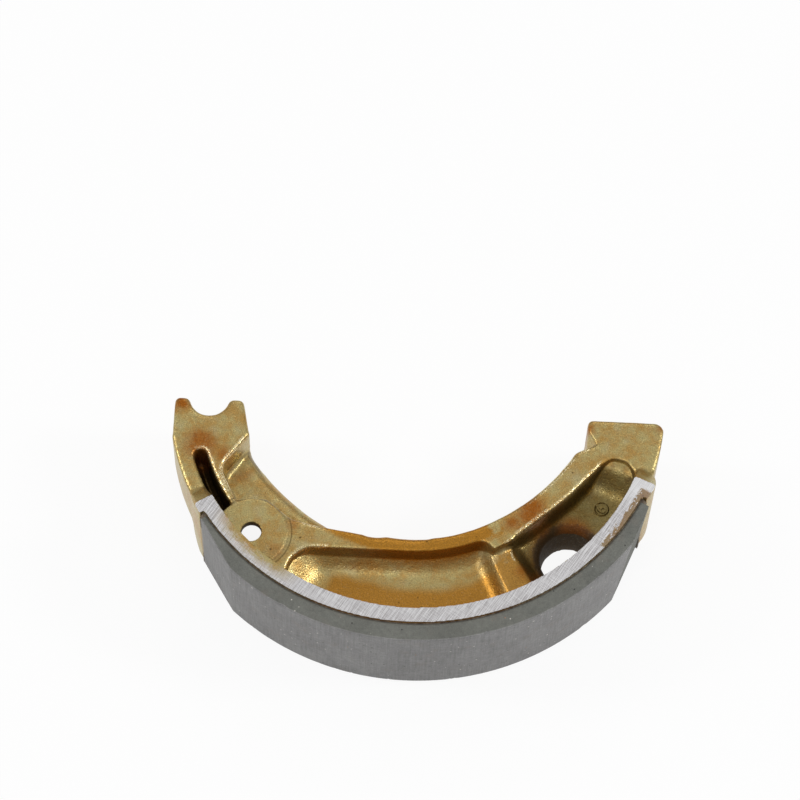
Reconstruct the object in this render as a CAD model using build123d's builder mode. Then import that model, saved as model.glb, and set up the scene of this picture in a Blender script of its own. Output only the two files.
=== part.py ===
"""Cast brake shoe for a 110 mm drum: casting, bond film and friction lining.

Frame: origin on the drum axis in the plane of side A, +X to the cam end, the
arch towards -Y, +Z up to side B. Angles run from +X towards -Y, so the cam
end is near 0 degrees and the pivot end near 180. Millimetres.
"""
import os
from math import cos, degrees, radians, sin, tan

from build123d import *

os.makedirs("parts", exist_ok=True)

# drum, lining and rim
DRUM_RADIUS = 55.0
LINING = 3.5
LINING_INSET = 0.5
FILM = 0.2
RIM = 3.2
RIM_DRAFT = 0.6
WIDTH = 25.0
CAM_TIP, CAM_TIP_THICKNESS, CAM_BEVEL_END = 26.4, 1.9, 36.0
CAM_BEVEL_SKEW = 4.0
PIVOT_TIP, PIVOT_TIP_THICKNESS, PIVOT_BEVEL_END = 143.9, 1.2, 131.0
BEAD_HEIGHT, BEAD_SPAN = 1.2, 1.0

# rim ends
RIM_START, RIM_END = 21.5, 147.5
RIM_SLOPE = 4.2
SHOULDER = 1.1
SHOULDER_GAP = 1.2
CAM_CROWN, CAM_CROWN_SPAN = 1.4, 8.0
PIVOT_CROWN, PIVOT_CROWN_SPAN = 0.75, 7.0

# body: blocks, web and inner flange
BODY_HEIGHT = 15.4
WEB = 3.0
LEDGE_BELOW_WEB = 0.8
SIDE_STEP = 0.1
ARCH_RADIUS = 31.2
ARCH_ANGLE = 22.5
HAUNCH_Y, PIVOT_HAUNCH_Y = -10.7, -11.6
HAUNCH_STEP, HAUNCH_RISE = 2.4, 1.4
PIVOT_HAUNCH_STEP, PIVOT_HAUNCH_RISE = 1.0, 2.6
FLANGE = 3.0
EDGE = 0.45

# cam pad and pivot fork
PAD_Y, PAD_WIDTH = -3.2, 15.9
PAD_CORNER = 1.8
FORK_INSET = 1.35
OUTER_PRONG, INNER_PRONG, PRONG_Y = 3.0, 2.95, -2.3
NOTCH_Y, NOTCH_RADIUS = -1.9, 4.1
CORNER = 1.0

# pockets, rib, slot and ledge
RIB_ANGLE, RIB_SPREAD, RIB_BELOW = 60.4, 2.6, 2.6
RIB_ROOT, RIB_CORNER = 2.7, 3.0
RIB_CROWN, RIB_CROWN_SPAN = 3.1, 4.4
POCKET_END = 121.5
POCKET_CORNER, DEEP_SWEEP = 2.8, 30.0
POCKET_ROUND_SHARE, DEEP_ROUND_SHARE = 0.5, 0.14
SLOT_WIDTH, SLOT_START, SLOT_END = 2.8, 144.9, 162.7
SLOT_CORNER, SLOT_FOOT = 1.3, 0.7
DRAFT = 4.0
FLOOR_EDGE = 1.6
LEDGE_EDGE = 3.0

# spring bosses
EYE_INSET, EYE_ANGLE = 2.8, 45.8
BOSS_RADIUS, BOSS_RISE = 7.2, 0.3
PLATE = 2.4
SPRING_HOLE = 2.05
WELL_RADIUS = 5.4
WELL_DRAFT = 6.0
MOUTH_EDGE = 0.9

# hollows of the cam block
SCOOP_IN, SCOOP_DEPTH, SCOOP_START, SCOOP_END = 1.2, 2.1, 0.3, 6.8
SCOOP_ASIDE, SCOOP_DOWN = 0.4, 2.6

# what follows from them
RIM_OUTER = DRUM_RADIUS - LINING - FILM
RIM_INNER = RIM_OUTER - RIM
SIDE = RIM_OUTER - SIDE_STEP
POCKET_OUTER = RIM_INNER + RIM / 2
SLOT_OUTER = RIM_INNER - RIM_DRAFT / 2
FLANGE_OUTER = ARCH_RADIUS + FLANGE
POCKET_WIDTH = POCKET_OUTER - FLANGE_OUTER
EYE_RADIUS = RIM_INNER - EYE_INSET
PAD_X = SIDE - PAD_WIDTH
HAUNCH_X = PAD_X - HAUNCH_STEP
PRONG_OUT = RIM_OUTER - FORK_INSET
NOTCH_X = OUTER_PRONG + NOTCH_RADIUS - PRONG_OUT
PRONG_IN = PRONG_OUT - OUTER_PRONG - 2 * NOTCH_RADIUS - INNER_PRONG
PIVOT_HAUNCH_X = HAUNCH_STEP - PRONG_IN
MID = WIDTH / 2
TOP = MID + BODY_HEIGHT / 2
BOTTOM = MID - BODY_HEIGHT / 2
FLOOR = MID + WEB / 2
LEDGE = FLOOR - LEDGE_BELOW_WEB


def at(radius, angle):
    """Plan point at a radius and an angle of the shoe."""
    return (radius * cos(radians(angle)), -radius * sin(radians(angle)))


def across(share, angle):
    """Plan point at a share of the way from the flange's wall to the rim's."""
    return at(FLANGE_OUTER + share * POCKET_WIDTH, angle)


def turned(shape):
    """The shape turned half round about the shoe's middle radius."""
    return shape.rotate(Axis((0, 0, MID), (0, 1, 0)), 180)


def radial_plane(angle):
    """Upright plane through the axis: x outwards at the angle, y up."""
    out = Vector(*at(1, angle))
    return Plane((0, 0, 0), x_dir=out, z_dir=out.cross(Vector(0, 0, 1)))


def end_plane(angle, sense):
    """Plane across the rim at an angle: x along the shoe, y up."""
    along = Vector(*at(1, angle + 90)) * sense
    origin = Vector(*at((RIM_INNER + RIM_OUTER) / 2, angle)) + Vector(0, 0, MID)
    return Plane(origin, x_dir=along, z_dir=along.cross(Vector(0, 0, 1)))


def near(sketch, *points):
    """The sketch's corners nearest to the given plan points."""
    return [sketch.vertices().sort_by_distance((x, y, 0))[0] for x, y in points]


# the body between its two faces
arch_end = at(ARCH_RADIUS, 90 - ARCH_ANGLE)
arch_dir = at(1, -ARCH_ANGLE)
with BuildPart() as body:
    with BuildSketch(Plane.XY.offset(BOTTOM)) as plan:
        Circle(SIDE)
        with Locations((0, PRONG_Y + SIDE)):
            Rectangle(4 * SIDE, 2 * SIDE, mode=Mode.SUBTRACT)
        with Locations((SIDE, PAD_Y + SIDE)):
            Rectangle(2 * SIDE, 2 * SIDE, mode=Mode.SUBTRACT)
        with Locations((-PRONG_OUT - SIDE, -SIDE)):
            Rectangle(2 * SIDE, 4 * SIDE, mode=Mode.SUBTRACT)
        with BuildLine():
            ThreePointArc((-arch_end[0], arch_end[1]), (0, -ARCH_RADIUS), arch_end)
            TangentArc(arch_end, (HAUNCH_X, HAUNCH_Y), tangent=arch_dir)
            Polyline(
                (HAUNCH_X, HAUNCH_Y),
                (PAD_X, HAUNCH_Y + HAUNCH_RISE),
                (PAD_X, SIDE),
                (-PRONG_IN, SIDE),
                (-PRONG_IN, PRONG_Y),
                (PIVOT_HAUNCH_X - PIVOT_HAUNCH_STEP, PIVOT_HAUNCH_Y + PIVOT_HAUNCH_RISE),
                (PIVOT_HAUNCH_X, PIVOT_HAUNCH_Y),
            )
            TangentArc(
                (-arch_end[0], arch_end[1]),
                (PIVOT_HAUNCH_X, PIVOT_HAUNCH_Y),
                tangent=(-arch_dir[0], arch_dir[1]),
            )
        make_face(mode=Mode.SUBTRACT)
        with Locations((NOTCH_X, NOTCH_Y)):
            Circle(NOTCH_RADIUS, mode=Mode.SUBTRACT)
        fillet(near(plan, (SIDE, PAD_Y)), PAD_CORNER)
        fillet(
            near(
                plan,
                (PAD_X, PAD_Y),
                (-PRONG_OUT, PRONG_Y),
                (-PRONG_IN, PRONG_Y),
                (NOTCH_X - NOTCH_RADIUS, PRONG_Y),
                (NOTCH_X + NOTCH_RADIUS, PRONG_Y),
            ),
            CORNER,
        )
    extrude(amount=BODY_HEIGHT)

# relief of side B: middle pocket, deep pocket, slot and ledge
rib_left = RIB_ANGLE + RIB_SPREAD
rib_right = RIB_ANGLE - RIB_SPREAD
with BuildPart() as relief:
    with BuildSketch(Plane.XY.offset(TOP)) as middle_pocket:
        turn = FLANGE_OUTER / sin(radians(POCKET_END))
        ends = (at(turn, POCKET_END), at(turn + 0.4 * (POCKET_OUTER - turn), POCKET_END + 2.0))
        with BuildLine():
            ThreePointArc(
                at(FLANGE_OUTER, rib_left),
                at(FLANGE_OUTER, (rib_left + 90) / 2),
                (0, -FLANGE_OUTER),
            )
            Polyline((0, -FLANGE_OUTER), *ends, at(POCKET_OUTER, POCKET_END))
            ThreePointArc(
                at(POCKET_OUTER, POCKET_END),
                at(POCKET_OUTER, 90),
                at(POCKET_OUTER, rib_left),
            )
            Line(at(POCKET_OUTER, rib_left), at(FLANGE_OUTER, rib_left))
        make_face()
        fillet(near(middle_pocket, *ends), POCKET_ROUND_SHARE * (POCKET_OUTER - turn))
        fillet(near(middle_pocket, at(FLANGE_OUTER, rib_left)), POCKET_CORNER)
    extrude(amount=-(TOP - FLOOR), taper=DRAFT)

    with BuildSketch(Plane.XY.offset(TOP)) as deep_pocket:
        deep_end = (across(0.41, 19.0), across(0.515, 15.95), across(0.715, 15.75))
        with BuildLine():
            Polyline(
                at(POCKET_OUTER, rib_right),
                at(FLANGE_OUTER + RIB_ROOT, rib_right),
                across(0.23, 33.8),
                *deep_end,
                at(SLOT_OUTER, RIM_START - 3),
                at(SLOT_OUTER, RIM_START - 1),
                at(POCKET_OUTER, RIM_START + 2),
            )
            ThreePointArc(
                at(POCKET_OUTER, RIM_START + 2),
                at(POCKET_OUTER, 40),
                at(POCKET_OUTER, rib_right),
            )
        make_face()
        fillet(near(deep_pocket, at(FLANGE_OUTER + RIB_ROOT, rib_right)), RIB_CORNER)
        fillet(near(deep_pocket, across(0.23, 33.8)), DEEP_SWEEP)
        fillet(near(deep_pocket, *deep_end), DEEP_ROUND_SHARE * POCKET_WIDTH)
    extrude(amount=-(TOP - FLOOR), taper=DRAFT)

    with BuildSketch(Plane.XY.offset(TOP)) as slot:
        with BuildLine():
            CenterArc((0, 0), SLOT_OUTER, -SLOT_START, -(SLOT_END - SLOT_START))
            CenterArc((0, 0), SLOT_OUTER - SLOT_WIDTH, -SLOT_START, -(SLOT_END - SLOT_START))
            for angle in (SLOT_START, SLOT_END):
                Line(at(SLOT_OUTER, angle), at(SLOT_OUTER - SLOT_WIDTH, angle))
        make_face()
        fillet(
            near(
                slot,
                at(SLOT_OUTER, SLOT_END),
                at(SLOT_OUTER - SLOT_WIDTH, SLOT_END),
            ),
            SLOT_CORNER,
        )
        fillet(
            near(
                slot,
                at(SLOT_OUTER, SLOT_START),
                at(SLOT_OUTER - SLOT_WIDTH, SLOT_START),
            ),
            SLOT_FOOT,
        )
    extrude(amount=-(TOP - LEDGE), taper=DRAFT / 2)
    fillet(relief.edges().filter_by_position(Axis.Z, FLOOR - 0.001, FLOOR + 0.001), FLOOR_EDGE)

# ledge of side B: a plateau with a well-rounded inner edge stays below its cut
with BuildPart() as plateau:
    with BuildSketch(Plane.XY.offset(BOTTOM)) as plateau_plan:
        with BuildLine():
            ThreePointArc(
                (0, -ARCH_RADIUS),
                at(ARCH_RADIUS, 90 + ARCH_ANGLE / 2),
                (-arch_end[0], arch_end[1]),
            )
            flank = TangentArc(
                (-arch_end[0], arch_end[1]),
                (PIVOT_HAUNCH_X, PIVOT_HAUNCH_Y),
                tangent=(-arch_dir[0], arch_dir[1]),
            )
            Polyline(
                flank @ 1,
                flank @ 1 + flank % 1 * SIDE / 4,
                (-2 * SIDE, PRONG_Y),
                (-2 * SIDE, -2 * SIDE),
                (0, -2 * SIDE),
                (0, -ARCH_RADIUS),
            )
        make_face()
    extrude(amount=LEDGE - BOTTOM)
    inner_edges = plateau.edges().filter_by_position(Axis.Z, LEDGE - 0.001, LEDGE + 0.001)
    fillet(inner_edges.sort_by_distance((0, -ARCH_RADIUS / 2, LEDGE))[:3], LEDGE_EDGE)

with BuildPart() as ledge_cut:
    with BuildSketch(Plane.XY.offset(TOP)) as ledge:
        tail = at(ARCH_RADIUS - FLANGE / 2, 93.9)
        edge = (at(ARCH_RADIUS + FLANGE / 4, 101.9), across(0.055, 122.9))
        foot = across(0.21, 131.5)
        head = across(0.585, 156.3)
        with BuildLine():
            Polyline(
                tail,
                *edge,
                foot,
                across(0.27, 141.3),
                across(0.605, 145.7),
                head,
                (PIVOT_HAUNCH_X + HAUNCH_STEP, PIVOT_HAUNCH_Y / 2),
                (0, -ARCH_RADIUS / 3),
                tail,
            )
        make_face()
        with Locations(at(EYE_RADIUS, 90 + EYE_ANGLE)):
            Circle(BOSS_RADIUS, mode=Mode.SUBTRACT)
        fillet(near(ledge, head), RIB_CORNER)
        fillet(near(ledge, at(EYE_RADIUS, 145), foot), SLOT_FOOT)
        fillet(near(ledge, *edge), RIB_CORNER)
    extrude(amount=-(TOP - LEDGE + LEDGE_EDGE))
    add(plateau.part, mode=Mode.SUBTRACT)

# rim with both faces ground flat
slope_angle = degrees(RIM_SLOPE / RIM_OUTER) + 0.5
with BuildPart() as rim:
    with BuildSketch(radial_plane(RIM_START - slope_angle)) as rim_section:
        with BuildLine():
            Polyline(
                (RIM_INNER, 0),
                (RIM_OUTER, 0),
                (RIM_OUTER, WIDTH),
                (RIM_INNER, WIDTH),
                (RIM_INNER - RIM_DRAFT, MID),
                (RIM_INNER, 0),
            )
        make_face()
    revolve(axis=Axis.Z, revolution_arc=-(RIM_END - RIM_START + 2 * slope_angle))

# shoulders outside the lining's tips
with BuildPart() as shoulders:
    with BuildSketch() as shoulder_plan:
        for tip, sense, crown, span in (
            (CAM_TIP, -1, CAM_CROWN, CAM_CROWN_SPAN),
            (PIVOT_TIP, 1, PIVOT_CROWN, PIVOT_CROWN_SPAN),
        ):
            face, middle = tip + sense * SHOULDER_GAP, tip + sense * (SHOULDER_GAP + span / 2)
            far = face + sense * span
            with BuildLine():
                ThreePointArc(
                    at(RIM_OUTER + SHOULDER, face),
                    at(RIM_OUTER + crown, middle),
                    at(RIM_OUTER, far),
                )
                Polyline(
                    at(RIM_OUTER, far),
                    at(RIM_OUTER - RIM / 2, far),
                    at(RIM_OUTER - RIM / 2, face),
                    at(RIM_OUTER + SHOULDER, face),
                )
            make_face()
    extrude(amount=WIDTH)

# wedges that take the rim's ends down to the body's faces
with BuildPart() as slopes:
    for angle, sense in ((RIM_START, -1), (RIM_END, 1)):
        with BuildSketch(end_plane(angle, sense)) as slope_section:
            with BuildLine():
                Polyline(
                    (0, MID),
                    (RIM_SLOPE, BODY_HEIGHT / 2),
                    (3 * RIM_SLOPE, BODY_HEIGHT / 2),
                    (3 * RIM_SLOPE, WIDTH),
                    (0, WIDTH),
                    (0, MID),
                )
            make_face()
            mirror(about=Plane.XZ)
        extrude(amount=RIM, both=True)

# well behind a boss, as deep as its plate allows, short of the rim's wall
eye = at(EYE_RADIUS, 90 + EYE_ANGLE)
well_depth = TOP + BOSS_RISE - PLATE - (MID - WEB / 2)
mouth_radius = WELL_RADIUS + well_depth * tan(radians(WELL_DRAFT))
with BuildPart() as well:
    with BuildSketch(Plane.XY.offset(MID - WEB / 2)) as well_mouth:
        with Locations(eye):
            Circle(mouth_radius)
    extrude(amount=well_depth, taper=WELL_DRAFT)
    with BuildSketch(Plane.XY.offset(MID - WEB / 2)) as mouth_edge:
        with Locations(eye):
            Circle(mouth_radius + MOUTH_EDGE)
    extrude(amount=MOUTH_EDGE, taper=45)
    with BuildSketch(Plane.XY):
        Circle(RIM_INNER - RIM_DRAFT)
    extrude(amount=WIDTH, mode=Mode.INTERSECT)

# boss disc, a little proud of the body's face
with BuildPart() as boss:
    with BuildSketch(Plane.XY.offset(MID)) as boss_plan:
        with Locations(eye):
            Circle(BOSS_RADIUS)
        Circle(RIM_INNER + RIM / 4, mode=Mode.INTERSECT)
    extrude(amount=TOP - MID + BOSS_RISE)

# opening of the cam end, the full width of its well
with BuildPart() as opening:
    with BuildSketch(Plane.XY.offset(BOTTOM - 1)) as opening_plan:
        with Locations(at(EYE_RADIUS, 90 - EYE_ANGLE)):
            Circle(WELL_RADIUS)
        Circle(RIM_INNER - RIM_DRAFT, mode=Mode.INTERSECT)
    extrude(amount=MID)

# hollows at the inner side of the cam block
with BuildPart() as scoop:
    with BuildSketch(Plane.XY.offset(TOP)):
        with BuildLine():
            Polyline(
                (PAD_X - SCOOP_IN, PAD_Y - SCOOP_START),
                (PAD_X + SCOOP_DEPTH, PAD_Y - SCOOP_END + SCOOP_IN),
                (PAD_X - SCOOP_IN, PAD_Y - SCOOP_END),
                close=True,
            )
        make_face()
    with BuildSketch(Plane.XY.offset(FLOOR)):
        with BuildLine():
            Polyline(
                (PAD_X - SCOOP_IN, PAD_Y - SCOOP_END / 2),
                (PAD_X + SCOOP_DEPTH / 10, PAD_Y - SCOOP_END + SCOOP_IN),
                (PAD_X - SCOOP_IN, PAD_Y - SCOOP_END + SCOOP_START),
                close=True,
            )
        make_face()
    loft()

# crowned top of the rib, short of the flange
rib_start = Vector(*at(FLANGE_OUTER + RIB_ROOT, RIB_ANGLE)) + Vector(0, 0, TOP - RIB_BELOW)
rib_length = RIM_INNER - RIM_DRAFT - FLANGE_OUTER - RIB_ROOT
rib_plane = Plane(rib_start, x_dir=Vector(*at(1, RIB_ANGLE - 90)), z_dir=Vector(*at(1, RIB_ANGLE)))

with BuildPart() as casting:
    add(body.part)
    for cut in (relief.part, ledge_cut.part):
        add(cut, mode=Mode.SUBTRACT)
        add(turned(cut), mode=Mode.SUBTRACT)
    for level in (TOP, BOTTOM):
        chamfer(casting.edges().filter_by_position(Axis.Z, level - 0.001, level + 0.001), EDGE)
    add(boss.part)
    add(turned(boss.part))
    add(rim.part)
    add(shoulders.part)
    add(slopes.part, mode=Mode.SUBTRACT)
    lower_scoop = scoop.part.mirror(Plane.XY.offset(MID))
    lower_scoop.position += (-SCOOP_ASIDE, -SCOOP_DOWN, 0)
    for cut in (well.part, turned(well.part), opening.part, scoop.part, lower_scoop):
        add(cut, mode=Mode.SUBTRACT)
    with Locations((eye[0], eye[1], MID)):
        Cylinder(SPRING_HOLE, WIDTH, mode=Mode.SUBTRACT)
    with BuildSketch(rib_plane) as rib_cut:
        with BuildLine():
            ThreePointArc((-RIB_CROWN_SPAN, -RIB_CROWN), (0, 0), (RIB_CROWN_SPAN, -RIB_CROWN))
            Polyline(
                (RIB_CROWN_SPAN, -RIB_CROWN),
                (RIB_CROWN_SPAN, WIDTH),
                (-RIB_CROWN_SPAN, WIDTH),
                (-RIB_CROWN_SPAN, -RIB_CROWN),
            )
        make_face()
    rib_top = extrude(amount=rib_length, mode=Mode.PRIVATE)
    add(rib_top, mode=Mode.SUBTRACT)
    add(turned(rib_top), mode=Mode.SUBTRACT)
casting.part.label = "shoe_casting"

# friction lining: both ends bevelled, the cam end's bevel askew
inner = DRUM_RADIUS - LINING
with BuildPart() as lining:
    with BuildSketch(Plane.XY.offset(LINING_INSET)) as lining_plan:
        with BuildLine():
            ThreePointArc(at(inner, CAM_TIP), at(inner, 90), at(inner, PIVOT_TIP))
            ThreePointArc(
                at(DRUM_RADIUS, CAM_TIP),
                at(DRUM_RADIUS, 90),
                at(DRUM_RADIUS, PIVOT_BEVEL_END),
            )
            Line(at(inner, CAM_TIP), at(DRUM_RADIUS, CAM_TIP))
            Polyline(
                at(inner, PIVOT_TIP),
                at(inner + PIVOT_TIP_THICKNESS, PIVOT_TIP),
                at(DRUM_RADIUS, PIVOT_BEVEL_END),
            )
        make_face()
    extrude(amount=WIDTH - 2 * LINING_INSET)
    tip = Vector(*at(inner + CAM_TIP_THICKNESS, CAM_TIP)) + Vector(0, 0, WIDTH - LINING_INSET)
    end = Vector(*at(DRUM_RADIUS, CAM_BEVEL_END)) + Vector(0, 0, WIDTH - LINING_INSET)
    low = Vector(*at(DRUM_RADIUS, CAM_BEVEL_END + CAM_BEVEL_SKEW)) + Vector(0, 0, LINING_INSET)
    bevel = Plane(end, x_dir=end - tip, z_dir=(end - tip).cross(low - end))
    split(bisect_by=bevel, keep=Keep.BOTTOM)
lining.part.label = "friction_lining"

# film that bonds the lining, with a bead of it in the gap at each tip
with BuildPart() as film:
    with BuildSketch(Plane.XY.offset(LINING_INSET)) as film_plan:
        with BuildLine():
            ThreePointArc(at(RIM_OUTER, CAM_TIP), at(RIM_OUTER, 90), at(RIM_OUTER, PIVOT_TIP))
            ThreePointArc(at(inner, CAM_TIP), at(inner, 90), at(inner, PIVOT_TIP))
            Line(at(RIM_OUTER, CAM_TIP), at(inner, CAM_TIP))
            Line(at(RIM_OUTER, PIVOT_TIP), at(inner, PIVOT_TIP))
        make_face()
        for edge, sense in ((CAM_TIP, -BEAD_SPAN), (PIVOT_TIP, BEAD_SPAN)):
            with BuildLine():
                ThreePointArc(
                    at(RIM_OUTER, edge),
                    at(RIM_OUTER, edge + sense / 2),
                    at(RIM_OUTER, edge + sense),
                )
                Polyline(
                    at(RIM_OUTER, edge + sense),
                    at(inner + BEAD_HEIGHT, edge + sense / 2),
                    at(inner + BEAD_HEIGHT, edge),
                    at(RIM_OUTER, edge),
                )
            make_face()
    extrude(amount=WIDTH - 2 * LINING_INSET)
film.part.label = "bond_film"

export_step(casting.part, "parts/shoe_casting.step")
export_step(lining.part, "parts/friction_lining.step")
export_step(film.part, "parts/bond_film.step")
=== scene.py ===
"""Cast brake shoe for a small drum: casting, bonded lining, bond line, cavity marks and stage."""

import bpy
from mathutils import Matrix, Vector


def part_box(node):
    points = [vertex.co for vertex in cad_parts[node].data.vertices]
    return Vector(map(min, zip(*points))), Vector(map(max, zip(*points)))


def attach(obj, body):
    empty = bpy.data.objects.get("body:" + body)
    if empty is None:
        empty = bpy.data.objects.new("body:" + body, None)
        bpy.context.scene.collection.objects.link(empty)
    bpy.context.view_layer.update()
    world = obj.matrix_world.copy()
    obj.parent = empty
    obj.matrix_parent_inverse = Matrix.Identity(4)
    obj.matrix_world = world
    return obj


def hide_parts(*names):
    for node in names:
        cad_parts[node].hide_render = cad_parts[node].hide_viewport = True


bl_info = {
    "name": "Cast Brake Shoe",
    "version": (1, 0, 0),
    "blender": (4, 5, 0),
    "location": "3D View > Sidebar > Brake Shoe",
    "description": "Builds the dressed brake shoe on its packed frame",
    "category": "Object",
}

from functools import reduce
from math import cos, pi, radians, sin

import bmesh
import bpy
from bpy.props import (
    FloatProperty,
    FloatVectorProperty,
    IntProperty,
    PointerProperty,
    StringProperty,
)
from bpy.types import Operator, Panel, PropertyGroup
from mathutils import Matrix, Vector

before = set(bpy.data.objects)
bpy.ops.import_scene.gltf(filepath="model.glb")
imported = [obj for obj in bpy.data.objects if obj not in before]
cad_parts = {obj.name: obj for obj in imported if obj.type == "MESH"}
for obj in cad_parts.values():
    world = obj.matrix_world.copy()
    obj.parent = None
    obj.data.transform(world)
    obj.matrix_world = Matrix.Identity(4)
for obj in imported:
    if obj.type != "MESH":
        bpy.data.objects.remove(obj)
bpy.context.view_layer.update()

MM = 0.001
CAST_LOW, CAST_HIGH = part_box("shoe_casting")
LINING_LOW, LINING_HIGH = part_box("friction_lining")
WHITE = (1.0, 1.0, 1.0)

# the casting, in millimetres and degrees: half its web, the radius of the flange's outer wall, a
# spring eye's place and the rib's angle
HALF_WEB = 1.5
FLANGE_WALL = 34.2
EYE_X, EYE_Y = 32.5, -31.6
RIB_ANGLE = 60.6
# its skin: steps and depth that measure how hollow it is, layer of the ground faces that stays put
HOLLOW_STEPS, HOLLOW_DEPTH = 5, 0.08
GROUND_DEPTH = 0.26


def colour(red, green, blue):
    """Scene-linear colour of three 0-255 screen values."""
    steps = [v / 255 for v in (red, green, blue)]
    return tuple(s / 12.92 if s <= 0.04045 else ((s + 0.055) / 1.055) ** 2.4 for s in steps)


def plan(radius, angle):
    """Plan point in the radius's unit; the angle runs from +X towards -Y, in degrees."""
    return radius * cos(radians(angle)), -radius * sin(radians(angle))


# node trees


def pick(sockets, key):
    """A socket by its place, identifier or name."""
    if isinstance(key, int):
        return sockets[key]
    for label in ("identifier", "name"):
        for socket in sockets:
            if getattr(socket, label) == key:
                return socket
    raise KeyError(key)


class Wire:
    """An output socket that takes part in sums, products and comparisons."""

    def __init__(self, nodes, socket):
        self.nodes, self.socket = nodes, socket

    def is_vector(self):
        return self.socket.type in ("VECTOR", "RGBA")

    def other(self, key):
        """Another output of the same node."""
        return Wire(self.nodes, pick(self.socket.node.outputs, key))

    def join(self, operation, first, second=None):
        """A maths node on numbers, or on vectors where one of the values is a vector."""
        values = [v for v in (first, second) if v is not None]
        if any(isinstance(v, Wire) and v.is_vector() for v in values):
            values = [(v, v, v) if isinstance(v, (int, float)) else v for v in values]
            kind = "ShaderNodeVectorMath"
        else:
            kind = "ShaderNodeMath"
        return self.nodes.add(kind, {"operation": operation}, dict(enumerate(values)))

    def __add__(self, value):
        return self.join("ADD", self, value)

    def __radd__(self, value):
        return self.join("ADD", value, self)

    def __sub__(self, value):
        return self.join("SUBTRACT", self, value)

    def __rsub__(self, value):
        return self.join("SUBTRACT", value, self)

    def __mul__(self, value):
        return self.join("MULTIPLY", self, value)

    def __rmul__(self, value):
        return self.join("MULTIPLY", value, self)

    def __truediv__(self, value):
        return self.join("DIVIDE", self, value)

    def __rtruediv__(self, value):
        return self.join("DIVIDE", value, self)

    def __neg__(self):
        return self.join("MULTIPLY", self, -1.0)

    def __abs__(self):
        return self.join("ABSOLUTE", self)

    def least(self, value):
        return self.join("MINIMUM", self, value)

    def most(self, value):
        return self.join("MAXIMUM", self, value)

    def above(self, value):
        return self.join("GREATER_THAN", self, value)

    def rise(self, low, high):
        """0 below low, 1 above high and smooth between; falls where high is the lower one."""
        flip = high < low
        ends = (high, low, 1.0, 0.0) if flip else (low, high, 0.0, 1.0)
        sockets = dict(zip(("From Min", "From Max", "To Min", "To Max"), ends))
        return self.nodes.add(
            "ShaderNodeMapRange", {"interpolation_type": "SMOOTHSTEP"}, {"Value": self, **sockets}
        )

    def band(self, low, high, soft):
        """1 between low and high, fading over soft outside."""
        return self.rise(low - soft, low) * self.rise(high + soft, high)

    def axes(self):
        """The vector's three numbers."""
        parts = self.nodes.add("ShaderNodeSeparateXYZ", {}, {0: self})
        return parts, parts.other("Y"), parts.other("Z")


class Nodes:
    """Adds nodes to one tree."""

    def __init__(self, tree):
        self.tree = tree

    def add(self, kind, settings=None, sockets=None, out=0):
        """A node of that type: its settings first, then its sockets' values or links."""
        node = self.tree.nodes.new(kind)
        for name, value in (settings or {}).items():
            setattr(node, name, value)
        for key, value in (sockets or {}).items():
            socket = pick(node.inputs, key)
            if isinstance(value, Wire):
                self.tree.links.new(value.socket, socket)
            else:
                if socket.type == "RGBA" and len(value) == 3:
                    value = (*value, 1.0)
                socket.default_value = value
        return Wire(self, pick(node.outputs, out)) if node.outputs else None

    def noise(self, place, scale, detail=2.0, rough=0.5, out="Fac"):
        sockets = {"Vector": place, "Scale": scale, "Detail": detail, "Roughness": rough}
        return self.add("ShaderNodeTexNoise", {}, sockets, out)

    def cells(self, place, scale, out="Distance"):
        return self.add("ShaderNodeTexVoronoi", {}, {"Vector": place, "Scale": scale}, out)

    def blend(self, factor, first, second, kind="MIX"):
        """One colour laid over another by the factor."""
        return self.add(
            "ShaderNodeMix",
            {"data_type": "RGBA", "blend_type": kind, "clamp_factor": True},
            {"Factor_Float": factor, "A_Color": first, "B_Color": second},
            "Result_Color",
        )

    def vector(self, x, y, z=0.0):
        return self.add("ShaderNodeCombineXYZ", {}, {0: x, 1: y, 2: z})

    def length(self, vector):
        return self.add("ShaderNodeVectorMath", {"operation": "LENGTH"}, {0: vector}, "Value")

    def dot(self, first, second):
        settings = {"operation": "DOT_PRODUCT"}
        return self.add("ShaderNodeVectorMath", settings, {0: first, 1: second}, "Value")

    def turn(self, x, y):
        """Angle of a plan point in degrees, from +X towards -Y."""
        return x.join("ARCTAN2", -y, x) * (180 / pi)

    def millimetres(self):
        """Object coordinates in millimetres."""
        return self.add("ShaderNodeTexCoord", out="Object") * (1 / MM)

    def attribute(self, name):
        """A number that the piece's geometry tree stored on its points."""
        return self.add("ShaderNodeAttribute", {"attribute_name": name}, out="Fac")

    def store(self, geometry, name, value):
        """Keeps a number on the geometry's points for its finish to read."""
        settings = {"data_type": "FLOAT", "domain": "POINT"}
        sockets = {"Geometry": geometry, "Name": name, "Value": value}
        return self.add("GeometryNodeStoreNamedAttribute", settings, sockets)

    def blur(self, value, steps, weight=1.0):
        """The vector evened out with its neighbours', step by step."""
        sockets = {"Value": value, "Iterations": steps, "Weight": weight}
        return self.add("GeometryNodeBlurAttribute", {"data_type": "FLOAT_VECTOR"}, sockets)

    def bump(self, height, depth):
        """Normal of a height from 0 to 1 that stands depth millimetres high."""
        sockets = {"Strength": 1.0, "Distance": depth * MM, "Height": height}
        return self.add("ShaderNodeBump", {}, sockets)

    def finish(self, fixed, changing):
        """Principled surface with its fixed and its changing sockets, and the material's output."""
        shader = self.add("ShaderNodeBsdfPrincipled", {}, {**fixed, **changing})
        self.add("ShaderNodeOutputMaterial", {}, {"Surface": shader})


def new_material(name):
    """An empty node material and the adder of its nodes."""
    made = bpy.data.materials.new(name)
    made.use_nodes = True
    made.node_tree.nodes.clear()
    return made, Nodes(made.node_tree)


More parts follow.
